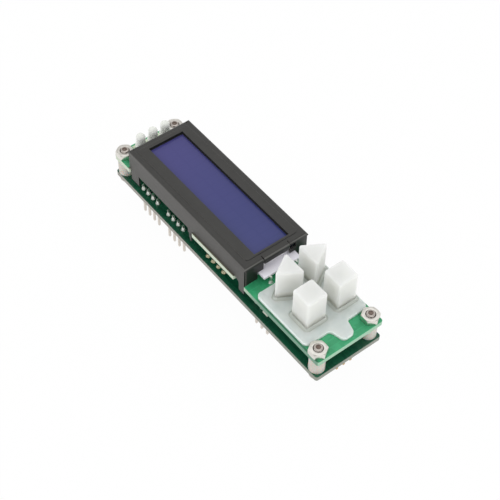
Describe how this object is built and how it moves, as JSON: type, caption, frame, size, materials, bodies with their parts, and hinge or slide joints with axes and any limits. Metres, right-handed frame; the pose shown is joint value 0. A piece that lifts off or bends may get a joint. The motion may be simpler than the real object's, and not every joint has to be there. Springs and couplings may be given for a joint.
{
  "type": "character display module",
  "caption": "Stacked circuit boards with a blue character display in a black folded bezel, silicone keys beside it and clear status lamps at the other end.",
  "frame": {"origin": "centre of the four-screw pattern, on the underside of the lower board", "axes": "+X along the display from the lamps to the keys, +Y from the display's lower edge to its upper edge, +Z out of the display's face"},
  "size_m": [0.0986, 0.0238, 0.0294],
  "materials": {
    "board_dark": "solder mask over glass-fibre laminate, dark green, satin",
    "board_bright": "solder mask over glass-fibre laminate, bright green, glossy",
    "nylon": "moulded white nylon, slightly translucent",
    "fixings": "nickel-plated steel",
    "bezel_paint": "black paint on thin folded steel, satin",
    "cell_glass": "thin float glass",
    "polarizer": "blue film, smooth",
    "strip_rubber": "layered contact rubber",
    "guide_plastic": "milky acrylic with a white back",
    "lamp_board_white": "white coated thin board",
    "solder": "tin solder, bright",
    "clear_lamp": "clear epoxy",
    "silicone_mat": "translucent silicone, satin",
    "silicone_key": "off-white silicone, satin",
    "carbon": "carbon-loaded silicone",
    "header_plastic": "moulded cream plastic",
    "pin_metal": "thin gold plating over brass, tinned ends",
    "plated_shell": "plated thin steel",
    "black_plastic": "moulded black plastic",
    "can_metal": "drawn aluminium can",
    "chip_body": "fired ceramic"
  },
  "bodies": {
    "display_module": {"lower_board": "board_dark", "upper_board": "board_bright", "spacers": "nylon", "screws": "fixings", "nuts": "fixings", "bezel": "bezel_paint", "front_glass": "cell_glass", "rear_glass": "cell_glass", "front_polarizer": "polarizer", "rear_polarizer": "polarizer", "contact_strip_lower": "strip_rubber", "contact_strip_upper": "strip_rubber", "light_guide": "guide_plastic", "lamp_board": "lamp_board_white", "lamp_board_leads": "solder", "status_lamp_1": "clear_lamp", "status_lamp_2": "clear_lamp", "status_lamp_3": "clear_lamp", "key_mat": "silicone_mat", "down_key_web": "silicone_mat", "up_key_web": "silicone_mat", "upper_square_key_web": "silicone_mat", "lower_square_key_web": "silicone_mat", "first_header_body": "header_plastic", "first_header_pins": "pin_metal", "second_header_body": "header_plastic", "second_header_pins": "pin_metal", "power_header_body": "header_plastic", "power_header_pins": "pin_metal", "sensor_header_body": "header_plastic", "sensor_header_pins": "pin_metal", "end_header_body": "header_plastic", "end_header_pins": "pin_metal", "link_socket": "black_plastic", "link_header_body": "black_plastic", "link_pins": "pin_metal", "usb_shell": "plated_shell", "usb_tongue": "black_plastic", "controller_chip": "black_plastic", "display_drivers": "black_plastic", "crystal": "plated_shell", "filter_capacitor": "can_metal", "driver_transistors": "black_plastic", "chip_parts": "chip_body", "spare_joints": "solder"},
    "down_key": {"down_key": "silicone_key", "down_key_contact": "carbon"},
    "up_key": {"up_key": "silicone_key", "up_key_contact": "carbon"},
    "upper_square_key": {"upper_square_key": "silicone_key", "upper_square_key_contact": "carbon"},
    "lower_square_key": {"lower_square_key": "silicone_key", "lower_square_key_contact": "carbon"}
  },
  "joints": [
    {"name": "down_key_press", "type": "slide", "parent": "display_module", "child": "down_key", "axis": [0, 0, -1], "range_m": [0, 0.0008], "stiffness_N_per_m": 1500, "deforming": ["down_key_web"]},
    {"name": "up_key_press", "type": "slide", "parent": "display_module", "child": "up_key", "axis": [0, 0, -1], "range_m": [0, 0.0008], "stiffness_N_per_m": 1500, "deforming": ["up_key_web"]},
    {"name": "upper_square_key_press", "type": "slide", "parent": "display_module", "child": "upper_square_key", "axis": [0, 0, -1], "range_m": [0, 0.0008], "stiffness_N_per_m": 1500, "deforming": ["upper_square_key_web"]},
    {"name": "lower_square_key_press", "type": "slide", "parent": "display_module", "child": "lower_square_key", "axis": [0, 0, -1], "range_m": [0, 0.0008], "stiffness_N_per_m": 1500, "deforming": ["lower_square_key_web"]}
  ]
}
